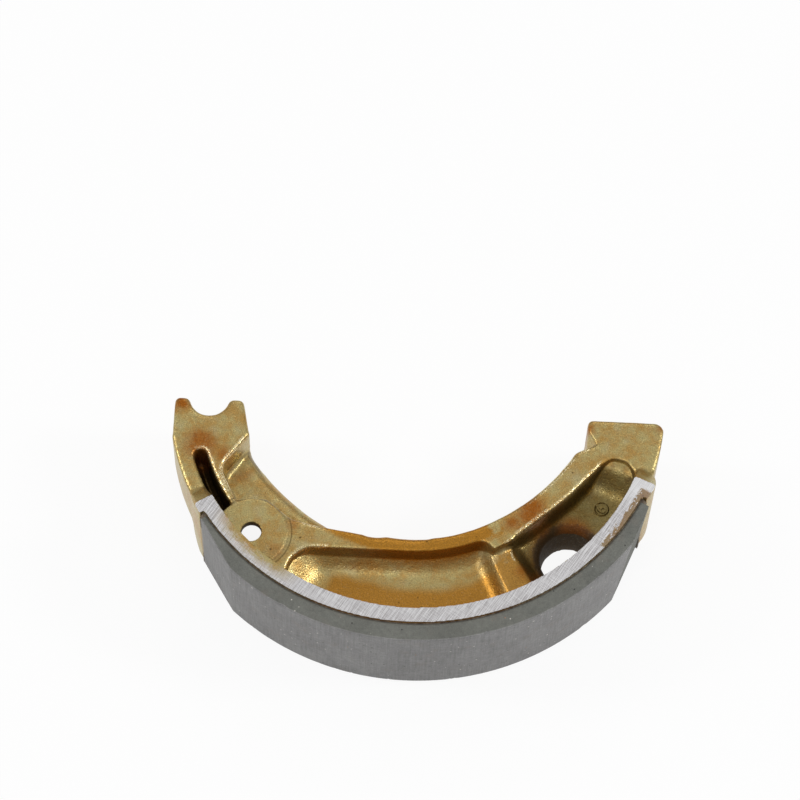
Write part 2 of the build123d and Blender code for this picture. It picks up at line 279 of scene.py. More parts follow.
def new_geometry_tree(name, inputs):
    """A geometry tree with named inputs, the adder of its nodes and its input sockets by name."""
    tree = bpy.data.node_groups.new(name, "GeometryNodeTree")
    tree.interface.new_socket(name="Geometry", in_out="INPUT", socket_type="NodeSocketGeometry")
    tree.interface.new_socket(name="Geometry", in_out="OUTPUT", socket_type="NodeSocketGeometry")
    for label, kind in inputs:
        tree.interface.new_socket(name=label, in_out="INPUT", socket_type="NodeSocket" + kind)
    nodes = Nodes(tree)
    geometry = nodes.add("NodeGroupInput", out="Geometry")
    given = {label: geometry.other(label) for label, _ in inputs}
    return tree, nodes, geometry, given


def end_geometry_tree(nodes, geometry, material):
    """Realises, gives the material and closes a geometry tree."""
    real = nodes.add("GeometryNodeRealizeInstances", {}, {"Geometry": geometry})
    done = nodes.add("GeometryNodeSetMaterial", {}, {"Geometry": real, "Material": material})
    nodes.add("NodeGroupOutput", {}, {"Geometry": done})


def use_tree(piece, tree, values):
    """Puts a geometry tree on a piece and sets its inputs by their identifiers."""
    modifier = piece.modifiers.new(tree.name, "NODES")
    modifier.node_group = tree
    for item in tree.interface.items_tree:
        if item.in_out == "INPUT" and item.name in values:
            modifier[item.identifier] = values[item.name]


# pieces


def new_piece(name, mesh=None):
    """An object at the origin with a mesh of its own."""
    piece = bpy.data.objects.new(name, mesh or bpy.data.meshes.new(name))
    bpy.context.scene.collection.objects.link(piece)
    return piece


def bake_modifiers(piece):
    """Turns what the modifiers make into the piece's own mesh and removes them."""
    context = bpy.context
    context.view_layer.update()
    made = bpy.data.meshes.new_from_object(
        piece.evaluated_get(context.evaluated_depsgraph_get()),
        preserve_all_data_layers=True,
        depsgraph=context.evaluated_depsgraph_get(),
    )
    piece.modifiers.clear()
    old, piece.data = piece.data, made
    made.name = piece.name
    bpy.data.meshes.remove(old)


def merged_copy(node, name):
    """A piece with a copy of a node's mesh, its loose triangles joined."""
    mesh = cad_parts[node].data.copy()
    mesh.materials.clear()
    shape = bmesh.new()
    shape.from_mesh(mesh)
    bmesh.ops.remove_doubles(shape, verts=shape.verts, dist=0.002 * MM)
    shape.to_mesh(mesh)
    shape.free()
    return new_piece(name, mesh)


def shade(piece, angle):
    """Smooth faces with creases where faces meet at more than the angle."""
    piece.data.shade_smooth()
    piece.data.set_sharp_from_angle(angle=radians(angle))


def settle(piece, slot, *nodes):
    """Hands a finished piece to the frame."""
    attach(piece, "root")
    if nodes:
        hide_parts(*nodes)


# finishes


# regions of the casting: two angles and their softness, then two radii and theirs
DEEP_POCKET = (19.0, 56.0, 3.0), (35.3, 48.3, 0.7)
SLOT = (145.0, 162.5, 0.6), (44.9, 48.0, 0.3)
DEEP_POCKET_EDGE = (16.0, 58.5, 1.0), (33.0, 40.0, 0.4)
LEDGE_EDGE = (141.0, 166.0, 1.0), (37.0, 47.2, 0.3)
MIDDLE_POCKET_END = (117.0, 127.0, 1.0), (35.5, 46.0, 0.3)
# edges that wear to bare metal and carry a painted highlight, and how much
WORN_AND_LIT_EDGES = (DEEP_POCKET_EDGE, 1.0), (LEDGE_EDGE, 1.0), (MIDDLE_POCKET_END, 0.8)

# rusty stains: plan point, reach, softness and strength
END_STAINS = (
    (-44.2, -12.6, 3.0, 1.6, 0.6),
    (-39.5, -14.4, 1.5, 1.4, 0.5),
    (-48.4, -3.6, 1.4, 1.2, 0.8),
    (-35.0, -16.4, 1.4, 1.8, 0.3),
    (35.8, -5.2, 0.8, 1.4, 0.7),
    (50.3, -4.6, 0.6, 1.2, 0.6),
    (32.0, -10.0, 0.8, 1.2, 0.5),
)
POCKET_STAINS = (
    (-24.2, -29.4, 1.2, 1.4, 0.4),
    (-27.6, -35.6, 1.8, 1.6, 0.3),
    (24.3, -24.3, 2.8, 2.2, 0.7),
    (20.7, -26.9, 2.0, 1.6, 0.6),
    (23.0, -36.6, 1.2, 1.4, 0.5),
    (26.2, -37.4, 1.6, 1.4, 0.5),
    (33.0, -25.6, 2.6, 1.6, 0.35),
)


class CastPlace:
    """Where a point of the casting lies, in millimetres and degrees, and its coat's noises."""

    def __init__(self, n, width):
        self.point = n.millimetres()
        self.x, self.y, self.z = self.point.axes()
        # each side's relief is the other's after a half turn, so both share one x and one angle
        self.shared_x = self.x * ((self.z.above(width / 2) - 0.5) * 2.0)
        self.turn = n.turn(self.shared_x, self.y)
        self.angle = n.turn(self.x, self.y)
        self.radius = n.length(n.vector(self.x, self.y))
        self.depth = abs(self.z - width / 2)
        self.from_eye = n.length(n.vector(abs(self.x), self.y) - (EYE_X, EYE_Y, 0.0))
        self.broad = n.noise(self.point, 0.11, 3.0)
        self.patch = n.noise(self.point, 0.34, 4.0, 0.6)
        self.mottle = n.noise(self.point, 1.3, 4.0, 0.65)
        self.grain = n.noise(self.point, 4.2, 2.0, 0.6)

    def region(self, angles, radii):
        """1 in a region of both sides, fading outside it."""
        return self.turn.band(*angles) * self.radius.band(*radii)


def coat_tone(n, look, at):
    """Colour of the coat by place with painted shade in the deep pocket's opening and slot, and the
    share of the opening's wall.
    """
    patchy = (at.patch + at.mottle * 0.5 + at.broad * 0.6).rise(0.84, 1.3) * 0.6
    # the inner flange, the middle pocket's outer half and the rib are amber all over
    drift = at.angle + (at.patch - 0.5) * 30.0 + (at.mottle - 0.5) * 8.0
    flange = drift.band(62.0, 121.0, 8.0) * (at.radius + at.mottle).rise(36.6, 34.8)
    floor = at.turn.band(66.0, 111.0, 4.0) * (at.radius + at.broad * 4.0).rise(40.2, 43.5)
    rib = at.turn.band(56.8, 63.8, 1.0) * at.depth.rise(6.9, 5.8) * at.radius.rise(37.0, 38.0)
    amber = patchy.most(flange * 0.95).most(floor * 0.9).most(rib * 0.8)
    tone = n.blend(amber, look.gold, look.amber)
    # greyer where the coat is thin
    thin = (n.noise(at.point, 0.2, 3.0, 0.6) + at.mottle * 0.3).rise(0.66, 0.9)
    tone = n.blend(thin * (1.0 - flange.most(floor)) * 0.6, tone, look.pale)
    # darker olive in the deep pocket; painted shade, darkest at the edge of the opening, in the opening
    # and in the slot
    deep = at.region(*DEEP_POCKET) * at.depth.rise(6.9, 5.4)
    tone = n.blend(deep * (0.7 + at.mottle * 0.3).least(1.0) * 0.85, tone, look.deep)
    # painted shade on the slope into the opening
    lip_shade = (at.from_eye + (at.patch - 0.5) * 4.0).rise(10.0, 6.4) * deep
    tone = n.blend(lip_shade * 0.6, tone, look.tan_and_shade)
    # painted shade: the opening's wall is coloured near black, rougher and less metallic
    opening_shade = (at.from_eye + (at.mottle - 0.5) * 1.6).rise(8.0, 6.9)
    opening_shade = opening_shade * at.depth.rise(8.0, 7.6) * at.radius.rise(47.9, 47.2)
    tone = n.blend(opening_shade * 0.94, tone, look.opening_shade)
    # painted shade: the slot's inside is coloured near black
    slot = at.region(*SLOT) * at.depth.rise(7.4, 6.2)
    return n.blend(slot * 0.92, tone, look.dirt_and_shade), opening_shade


def rust_share(n, at):
    """Rusty stains with wandering edges; those in the pockets are turned with the relief."""
    wander = (n.noise(at.point, 0.32, 3.0, out="Color") - 0.5) * (3.2, 3.2, 0.0)

    def stain(plan_point, x, y, reach, soft, strength):
        """Round patch about a point."""
        gap = n.length(plan_point - (x, y, 0.0))
        return gap.rise(reach + soft, reach - soft) * strength

    plain = n.vector(at.x, at.y) + wander
    turned = n.vector(at.shared_x, at.y) + wander
    stains = [stain(plain, *row) for row in END_STAINS]
    stains += [stain(turned, *row) for row in POCKET_STAINS]
    # faces that cross the middle plane lose it there; the web, which lies there, keeps it
    clear = at.depth.rise(1.0, 4.5).most(at.radius.band(33.8, 48.2, 0.3))
    return reduce(Wire.most, stains) * clear


def wear_and_highlight_share(n, at, hollow):
    """Pale grains, broken along chosen edges: wear and painted highlight."""
    broken = n.cells(at.point, 5.5, out="Color").axes()[1].rise(0.25, 0.75)
    broken = broken * n.noise(at.point, 0.5, 2.0).rise(0.3, 0.5)
    rubbed_and_lit = reduce(Wire.most, [at.region(*edge) * share for edge, share in WORN_AND_LIT_EDGES])
    rubbed_and_lit = rubbed_and_lit * at.from_eye.rise(8.0, 9.5)
    return (-hollow).rise(0.25, 0.7) * broken * rubbed_and_lit * at.depth.rise(8.2, 7.9)


def ground_share(n, at, rim_inner, width):
    """Bare metal of the rim's ground faces, and the tan coat left at its cam end."""
    flat = at.depth.rise(width / 2 - 0.16, width / 2 - 0.05)
    edge = (n.noise(at.point, 0.6, 3.0) - 0.5) + (n.noise(at.point, 2.2, 2.0) - 0.5) * 0.7
    speckle = n.noise(at.point, 3.2, 2.0, 0.6) - 0.5
    streaks = n.noise(n.vector(at.angle * 0.3, at.radius * 2.4, at.z), 1.0, 3.0, 0.6) - 0.5
    # the inner edge is crisp, but ragged beside the middle pocket's end
    ragged = at.turn.band(124.0, 137.0, 8.0)
    reach = at.radius + edge * (0.5 + ragged) + speckle * ragged * 1.6 + streaks * ragged * 2.6
    ground = reach.rise(rim_inner - 0.1, rim_inner + 0.15) * (1.0 - ragged)
    ground = ground + reach.rise(rim_inner + 0.2, rim_inner + 3.4) * ragged
    ground = flat * ground * at.radius.rise(rim_inner - 0.5, rim_inner)
    strip = n.noise(n.vector(at.angle * 0.5, at.radius * 1.6, at.z), 1.0, 3.0, 0.6) - 0.5
    outer_half = (at.radius + strip * 3.6 + speckle * 1.2).rise(49.9, 50.7)
    tan_end = at.angle.band(25.0, 39.0, 3.0) * outer_half
    tan_end = (tan_end * flat + (speckle + strip) * 0.5).rise(0.35, 0.6) * tan_end.rise(0.0, 0.2)
    return ground * (1.0 - tan_end * 0.85), tan_end


def scratch_share(n, at, lean):
    """Grinding marks across the rim in one direction, with fainter ones crossing them."""
    along, across = at.x * cos(lean) + at.y * sin(lean), at.y * cos(lean) - at.x * sin(lean)
    bow = n.noise(at.point, 0.06, 1.0) * 2.0
    marks = n.noise(n.vector(along * 0.14, across * 5.5 + bow, at.z), 1.0, 3.0, 0.7)
    fine = n.noise(n.vector(along * 0.4, across * 15.0 + bow, at.z), 1.0, 2.0, 0.6)
    crossing = n.noise(n.vector(across * 0.25, along * 7.0, at.z), 1.0, 2.0, 0.6)
    return marks * 0.5 + fine * 0.3 + crossing * 0.2


def cast_finish(look, rim_inner, width):
    """Gold-toned rough casting with stains, and bare scratched metal where the rim is ground."""
    made, n = new_material("cast_alloy_gold")
    at = CastPlace(n, width)
    tone, opening_shade = coat_tone(n, look, at)
    rust = rust_share(n, at)
    tone = n.blend((rust * (0.9 + at.mottle)).least(0.95), tone, look.rust)

    # darkening in corners, partly grime and partly painted shade, dark specks, and pale grains of wear
    # and painted highlight along edges
    hollow = n.attribute("hollow")
    dirt_and_shade = (hollow + at.mottle * 0.25).rise(0.4, 1.2)
    tone = n.blend(dirt_and_shade * 0.4, tone, look.dirt_and_shade)
    specks = n.cells(at.point, 0.42).rise(0.14, 0.05) * n.noise(at.point, 0.3).rise(0.55, 0.62)
    tone = n.blend(specks * 0.8, tone, look.dirt_and_shade)
    # painted highlight: pale grains along chosen edges, partly wear, and scattered painted glints
    pale_tone = wear_and_highlight_share(n, at, hollow)
    glint = n.cells(at.point, 4.6, out="Color").axes()[0].rise(0.9, 0.99)
    tone = n.blend((pale_tone + glint * 0.06).least(1.0), tone, look.bright)
    # a fine dark line round the boss discs, painted shade of the disc's edge
    from_disc = n.length(n.vector(at.shared_x, at.y) - (-EYE_X, EYE_Y, 0.0))
    line = from_disc.band(8.15, 8.35, 0.12) * at.depth.rise(6.2, 6.6) * at.radius.rise(47.2, 46.6)
    tone = n.blend(line * 0.5, tone, look.dirt_and_shade)
    tone = n.blend(1.0, tone, n.blend(0.75, WHITE, at.grain * 1.9 + 0.05), "MULTIPLY")

    # ground faces of the rim, whiter at the cam end
    ground, tan_end = ground_share(n, at, rim_inner, width)
    scratch = scratch_share(n, at, radians(look.scratch_angle))
    metal = n.blend(scratch.rise(0.4, 0.58), look.metal_dark, look.metal)
    metal = n.blend(at.angle.rise(29.0, 24.0) * 0.5, metal, WHITE)
    tone = n.blend(tan_end * 0.65, tone, look.tan_and_shade)
    tone = n.blend(ground, tone, metal)

    rough = 0.35 - glint * 0.1 + (at.mottle - 0.5) * 0.2 + dirt_and_shade * 0.15 + rust * 0.08 - pale_tone * 0.06
    rough = (rough + opening_shade * 0.4) * (1.0 - ground) + (0.32 + scratch * 0.12) * ground
    metallic = (0.9 - dirt_and_shade * 0.25 - rust * 0.15) * (1.0 - opening_shade * 0.8)
    metallic = metallic * (1.0 - ground) + ground * 0.97
    pits = n.cells(at.point, 1.9).rise(0.0, 0.5)
    cast_height = at.grain * 0.45 + at.mottle * 0.55 + pits * 0.25
    height = cast_height * (1.0 - ground) + (scratch * 0.3 + 0.45) * ground
    n.finish(
        {"Specular IOR Level": 0.5},
        {
            "Base Color": tone,
            "Roughness": rough.least(0.9).most(0.15),
            "Metallic": metallic,
            "Normal": n.bump(height, look.grain_depth),
        },
    )
    return made


def level_mask(z, top, bottom):
    """1 close to the two side faces."""
    return z.rise(top - 0.3, top - 0.1).most(z.rise(bottom + 0.3, bottom + 0.1))


def lining_finish(look, inner, outer, top, bottom):
    """Moulded friction material: grey, with pale and brown specks, pits and fine streaks."""
    made, n = new_material("friction_lining_grey")
    place = n.millimetres()
    x, y, z = place.axes()
    radius = n.length(n.vector(x, y))
    around = n.vector(n.turn(x, y) * (outer * pi / 180), radius, z)
    # the working face and the pivot end's bevel are paler than what lies below them
    face = n.attribute("below").rise(0.3, 0.06)

    cloud = n.noise(place, 0.16, 4.0, 0.6)
    mottle = n.noise(place, 1.1, 4.0, 0.7)
    grain = n.noise(place, 4.5, 3.0, 0.7)
    streak = n.noise(around * n.vector(0.35, 1.0, 2.4), 1.0, 4.0, 0.7)
    strand = n.noise(around * n.vector(2.4, 1.0, 0.12), 1.0, 3.0, 0.6)
    tone = n.blend(face, look.side, look.face)
    shade_of = (cloud - 0.5) * 0.4 + (mottle - 0.5) * 0.5 + (grain - 0.5) * 0.6
    shade_of = shade_of + (streak - 0.5) * 0.4 * face + (strand - 0.5) * 0.5 * face
    tone = n.blend(1.0, tone, 1.0 + shade_of * 1.6, "MULTIPLY")
    warm = n.noise(place, 0.3, 3.0).rise(0.55, 0.75) * 0.22
    tone = n.blend(warm, tone, look.warm)

    def specks(scale, size, share, seed):
        """Small grains, only in some of the cells."""
        moved = place + (seed, seed * 1.7, seed * 0.6)
        keep = n.cells(moved, scale, out="Color").axes()[0].rise(1.0 - share, 1.0 - share + 0.02)
        return n.cells(moved, scale).rise(size * 1.25, size * 0.75) * keep

    pale = specks(0.6, 0.12, 0.07, 3.0).most(specks(1.3, 0.2, 0.04, 11.0))
    tone = n.blend(pale * 0.75, tone, look.speck)
    brown = specks(0.8, 0.13, 0.04, 23.0)
    tone = n.blend(brown * 0.6, tone, look.brown)
    pit = specks(0.5, 0.1, 0.07, 37.0).most(specks(1.2, 0.2, 0.04, 41.0))
    tone = n.blend(pit * 0.85, tone, look.pit)
    # painted shade: the side faces darken towards the bond
    foot = radius.rise(inner + 0.4, inner) * level_mask(z, top, bottom)
    tone = n.blend(foot * 0.3, tone, look.pit)

    height = mottle * 0.35 + grain * 0.45 + streak * face * 0.2 + pale * 0.25 - pit * 1.2
    n.finish(
        {"Metallic": 0.0, "Specular IOR Level": 0.5},
        {
            "Base Color": tone,
            "Roughness": (0.72 - face * 0.1 - pale * 0.25 + (mottle - 0.5) * 0.3).least(0.95),
            "Normal": n.bump(height + 1.2, look.grain_depth),
        },
    )
    return made


def bond_finish(look):
    """Baked adhesive: dark brown and lumpy, paler away from the side faces."""
    made, n = new_material("bond_line_brown")
    place = n.millimetres()
    lump = n.noise(place, 0.9, 4.0, 0.7)
    grain = n.noise(place, 4.0, 2.0)
    tone = n.blend(lump.rise(0.35, 0.7), look.dark, look.light)
    from_middle = abs(place.axes()[2] - (LINING_LOW.z + LINING_HIGH.z) / 2 / MM)
    # paler away from the side faces
    tone = n.blend(from_middle.rise(8.0, 6.0) * 0.85, tone, look.pale_tone)
    n.finish(
        {"Metallic": 0.0},
        {
            "Base Color": tone,
            "Roughness": 0.45 + lump * 0.35,
            "Normal": n.bump(lump * 0.7 + grain * 0.3, 0.12),
        },
    )
    return made


# settings


def length_setting(name, about, value, low=0.0):
    """A length in metres whose default is given in millimetres."""
    return FloatProperty(
        name=name, description=about, default=value * MM, min=low * MM, unit="LENGTH", precision=5
    )


def colour_setting(name, about, *screen):
    return FloatVectorProperty(
        name=name, description=about, default=colour(*screen), subtype="COLOR", min=0.0, max=1.0
    )


class CastingSettings(PropertyGroup):
    rim_outer: length_setting("Rim radius", "Radius of the rim's outer face", 51.3)
    rim_thickness: length_setting("Rim thickness", "Thickness of the rim", 3.2)
    cell: length_setting("Cell", "Size of the remeshing cells", 0.3, 0.1)
    wander: length_setting("Wander", "How far cast faces wander from true", 0.07)
    wander_size: FloatProperty(
        name="Wander size", description="Waves of the cast skin per millimetre", default=0.3, min=0.01
    )
    edge_softness: IntProperty(
        name="Edge softness", description="Smoothing steps of all cast edges", default=5, min=0
    )
    pocket_softness: IntProperty(
        name="Pocket softness", description="Smoothing steps of the pockets' floors", default=26, min=0
    )
    triangles: IntProperty(
        name="Triangles", description="Triangles the casting is thinned to", default=190000, min=1000
    )
    grain_depth: FloatProperty(
        name="Grain depth", description="Height of the sand grain in millimetres", default=0.08, min=0.0
    )
    scratch_angle: FloatProperty(
        name="Scratch angle", description="Direction of the grinding marks in degrees", default=58.0
    )
    gold: colour_setting("Gold", "Olive gold of the coat", 182, 166, 112)
    amber: colour_setting("Amber", "Amber of the thicker coat", 172, 118, 36)
    pale: colour_setting("Pale", "Grey of the thin coat", 182, 174, 134)
    # darker olive of the deep pocket
    deep: colour_setting("Deep", "Dark olive of the thick coat", 100, 84, 42)
    rust: colour_setting("Rust", "Brown of the stains", 150, 84, 8)
    # amber-brown of thick stains and of the painted shade at the edge of the opening
    tan_and_shade: colour_setting("Dark rust", "Amber-brown of thick stains", 120, 78, 30)
    # dark brown of grime and specks, also painted shade in corners, in the slot and round the boss discs
    dirt_and_shade: colour_setting("Dirt", "Dirt in corners", 62, 44, 16)
    # painted shade colour of the opening's wall
    opening_shade: colour_setting("Well", "Thick coat in the opening", 58, 40, 12)
    # bare metal of wear and colour of the painted highlights and glints
    bright: colour_setting("Bright", "Bare metal on worn edges", 236, 220, 176)
    metal: colour_setting("Metal", "Ground metal", 236, 235, 236)
    metal_dark: colour_setting("Metal in scratches", "Ground metal in its scratches", 172, 168, 168)


class LiningSettings(PropertyGroup):
    outer: length_setting("Drum radius", "Radius of the lining's working face", 55.0)
    thickness: length_setting("Thickness", "Thickness of the lining", 3.5)
    start: FloatProperty(name="Start", description="Angle of the cam end's tip", default=26.4)
    end: FloatProperty(name="End", description="Angle of the pivot end's tip", default=143.9)
    cam_tip: length_setting("Cam tip", "Thickness of the cam end's tip", 1.9)
    cam_bevel: FloatProperty(name="Cam bevel", description="Angle at which its bevel ends", default=36.0)
    cam_skew: FloatProperty(name="Cam skew", description="Angle the bevel gains across", default=4.0)
    pivot_tip: length_setting("Pivot tip", "Thickness of the pivot end's tip", 1.2)
    pivot_bevel: FloatProperty(
        name="Pivot bevel", description="Angle at which its bevel ends", default=131.0
    )
    step: length_setting("Step", "Distance between points along the lining", 0.32, 0.1)
    edge: length_setting("Edge", "Rounding of the long edges", 0.12)
    chips: length_setting("Chips", "How deep the edges are chipped", 0.35)
    grain_depth: FloatProperty(
        name="Grain depth", description="Height of the grain in millimetres", default=0.06, min=0.0
    )
    side: colour_setting("Side", "Moulded side faces", 99, 100, 94)
    face: colour_setting("Face", "Working face", 126, 125, 124)
    warm: colour_setting("Warm", "Brownish clouds", 122, 110, 100)
    speck: colour_setting("Specks", "Pale grains", 214, 208, 200)
    brown: colour_setting("Brown grains", "Copper-brown grains", 176, 124, 88)
    # pits and dark grains, also painted shade by the bond
    pit: colour_setting("Pits", "Pits and dark grains", 44, 44, 42)


class BondSettings(PropertyGroup):
    dark: colour_setting("Dark", "Thick adhesive", 58, 44, 32)
    light: colour_setting("Light", "Thin adhesive", 112, 100, 84)
    # paler colour of the adhesive away from the side faces
    pale_tone: colour_setting("Worn", "Adhesive wiped thin away from the sides", 176, 160, 136)


class MarkSettings(PropertyGroup):
    number: StringProperty(name="Number", description="Cavity number", default="6")
    ring: length_setting("Ring", "Radius of the ring round the number", 1.4)
    line: length_setting("Line", "Width of the ring's line", 0.26)
    height: length_setting("Height", "Height above the pocket's floor", 0.32)
    radius: length_setting("Place", "Distance from the drum's axis", 44.0)
    angle: FloatProperty(name="Angle", description="Angle on the shoe in degrees", default=27.9)
    turn: FloatProperty(name="Turn", description="Turn of the number in degrees", default=62.0)


class StageSettings(PropertyGroup):
    floor_size: FloatProperty(
        name="Floor", description="Side of the floor", default=6.0, min=0.5, unit="LENGTH"
    )
    floor_colour: colour_setting("Floor", "Colour of the floor", 236, 236, 236)
    distance: length_setting("Distance", "Camera to the sight's centre", 759.3161)
    lens: FloatProperty(name="Lens", description="Focal length in millimetres", default=160.756)
    elevation: FloatProperty(
        name="Elevation", description="Camera above the floor", default=1.1518, subtype="ANGLE"
    )
    roll: FloatProperty(name="Roll", description="Camera's turn", default=-0.0385, subtype="ANGLE")
    sky: FloatProperty(name="Sky", description="Strength of the even light", default=0.76, min=0.0)


# lamps of the stage: name, place, size in metres, share of the light on a face turned to them
LAMPS = (
    ("back lamp", (0.0, 0.90, 0.75), 0.35, 0.06),
    ("left lamp", (-0.80, 0.02, 0.60), 0.2, 0.22),
    ("right lamp", (0.83, 0.0, 0.55), 0.2, 0.34),
    ("front lamp", (-0.30, -0.55, 0.78), 0.2, 0.1),
)
# the camera's aim and its turn about Z, found from the shoe's own arcs
SIGHT = Vector((-3.6066, 8.2066, 0.0)) * MM
HEADING = radians(0.5)
# width of its sensor in millimetres
SENSOR = 36.0
# the floor's gap below the shoe, and how much of it shows white to the camera
FLOOR_GAP = 0.02 * MM
WHITE_SHARE = 0.9


# operators


class BRAKESHOE_OT_casting(Operator):
    """Make the cast shoe with its rough skin and ground rim"""

    bl_idname = "brakeshoe.casting"
    bl_label = "Casting"

    def execute(self, context):
        look = context.scene.shoe_casting
        rim_inner = look.rim_outer - look.rim_thickness
        finish = cast_finish(look, rim_inner / MM, (CAST_HIGH.z - CAST_LOW.z) / MM)
        piece = merged_copy("shoe_casting", "cast_shoe")
        remesh = piece.modifiers.new("cells", "REMESH")
        remesh.mode, remesh.voxel_size = "VOXEL", look.cell
        calm = piece.modifiers.new("calm", "SMOOTH")
        calm.factor, calm.iterations = 0.5, 2
        use_tree(piece, self.skin(finish), {
            "Wander": look.wander,
            "Waves": look.wander_size / MM,
            "Rim Radius": look.rim_outer,
            "Rim Inner": rim_inner,
            "Low": CAST_LOW,
            "High": CAST_HIGH,
            "Edge Softness": look.edge_softness,
            "Pocket Softness": look.pocket_softness,
        })
        bake_modifiers(piece)
        triangles = len(piece.data.loops) - 2 * len(piece.data.polygons)
        thin = piece.modifiers.new("thin", "DECIMATE")
        thin.ratio = min(1.0, look.triangles / triangles)
        bake_modifiers(piece)
        shade(piece, angle=42)
        settle(piece, "cast_alloy", "shoe_casting")
        return {"FINISHED"}

    def skin(self, finish):
        """Stores how hollow each point is, slopes and softens the relief and lets cast faces wander."""
        tree, n, shape, given = new_geometry_tree("cast skin", (
            ("Wander", "Float"), ("Waves", "Float"), ("Rim Radius", "Float"),
            ("Rim Inner", "Float"), ("Low", "Vector"), ("High", "Vector"),
            ("Edge Softness", "Int"), ("Pocket Softness", "Int"),
        ))
        place = n.add("GeometryNodeInputPosition")
        normal = n.add("GeometryNodeInputNormal")
        hollow = n.dot(n.blur(place, HOLLOW_STEPS) - place, normal) * (1 / (HOLLOW_DEPTH * MM))
        shape = n.store(shape, "hollow", hollow)
        x, y, z = place.axes()
        radius = n.length(n.vector(x, y))
        bottom, top = given["Low"].axes()[2], given["High"].axes()[2]

        # the rim's ground faces and its outer face keep their place, all else is free
        on_rim = radius.above(given["Rim Inner"] - 1.2 * MM)
        high = on_rim * z.above(top - GROUND_DEPTH * MM)
        low = on_rim * (1.0 - z.above(bottom + GROUND_DEPTH * MM))
        round_face = radius.above(given["Rim Radius"] - 0.25 * MM)
        free = (1.0 - high) * (1.0 - low) * (1.0 - round_face)

        # places are shared by the two sides, whose relief is the same after a half turn
        middle = (bottom + top) * 0.5
        side = z.above(middle) * 2.0 - 1.0
        depth = abs(z - middle)
        shared_x = x * side
        turn = n.turn(shared_x, y)
        over, far = depth * (1 / MM), radius * (1 / MM)
        inward = n.dot(normal, n.vector(x / radius, y / radius))
        inside = turn.band(13.0, 126.0, 0.5) * far.band(33.4, 48.4, 0.1)
        inside = inside * inward.above(-0.6).most(far.above(42.0))
        floor = HALF_WEB + self.slopes(n, shared_x, y, turn, far)
        fill = (floor - over).most(0.0) * inside * over.above(HALF_WEB - 0.2) * free

        # edges soften all over, except about the boss discs
        disc = n.length(n.vector(shared_x + EYE_X * MM, y - EYE_Y * MM))
        disc = disc.rise(9.0 * MM, 7.9 * MM) * depth.above(6.4 * MM)
        cast = free * (1.0 - disc)
        soft = n.blur(n.vector(x, y, z + fill * MM * side), given["Edge Softness"], cast)
        # pockets' floors, the ledge's foot and the end of the flange's level edge soften most
        pocket = (given["Rim Inner"] - radius).band(0.8 * MM, 13.2 * MM, 0.6 * MM)
        pocket = turn.band(18.0, 126.0, 3.0) * pocket * depth.rise(6.0 * MM, 4.6 * MM)
        foot = hollow.rise(0.15, 0.5) * turn.rise(128.0, 134.0) * cast
        level = turn.band(86.0, 104.0, 4.0) * far.rise(33.2, 32.6) * free * 0.7
        soft = n.blur(soft, given["Pocket Softness"], pocket.most(foot).most(level))

        wave = n.noise(place, given["Waves"], 3.0, 0.55) - 0.5
        moved = soft + normal * (wave * free * given["Wander"] * 2.0)
        x, y, z = moved.axes()
        flat = n.vector(x, y, z * (1.0 - high) * (1.0 - low) + top * high + bottom * low)
        held = flat.least(given["High"]).most(given["Low"])
        shape = n.add("GeometryNodeSetPosition", {}, {"Geometry": shape, "Position": held})
        end_geometry_tree(n, shape, finish)
        return tree

    def slopes(self, n, x, y, turn, far):
        """How far a pocket's floor curves up, in millimetres, at its ends and at the walls' feet."""
        middle_pocket = turn.above(RIB_ANGLE)
        deep_pocket = 1.0 - middle_pocket
        # the middle pocket's wall runs round the arch on one half and straight on the other
        arched = x.above(0.0)
        from_wall = far * arched + y * (arched - 1.0) * (1 / MM) - FLANGE_WALL
        rises = (
            # end of the middle pocket, both sides of the rib, cam end of the deep pocket
            (turn.rise(111.0, 124.0), 4.6, 1.0),
            (turn.rise(69.5, 63.5), 3.2, middle_pocket),
            (turn.rise(51.5, 57.6), 3.2, deep_pocket),
            (turn.rise(28.0, 17.0), 5.0, 1.0),
            # walls along the flange
            (from_wall.rise(4.4, 0.0), 2.6, middle_pocket),
            (far.rise(FLANGE_WALL + 4.4, FLANGE_WALL + 0.2), 2.2, deep_pocket),
        )
        rise = reduce(Wire.most, [near * near * lift * where for near, lift, where in rises])
        clear_of_opening = n.length(n.vector(x - EYE_X * MM, y - EYE_Y * MM))
        return rise * clear_of_opening.rise(7.0 * MM, 9.0 * MM)


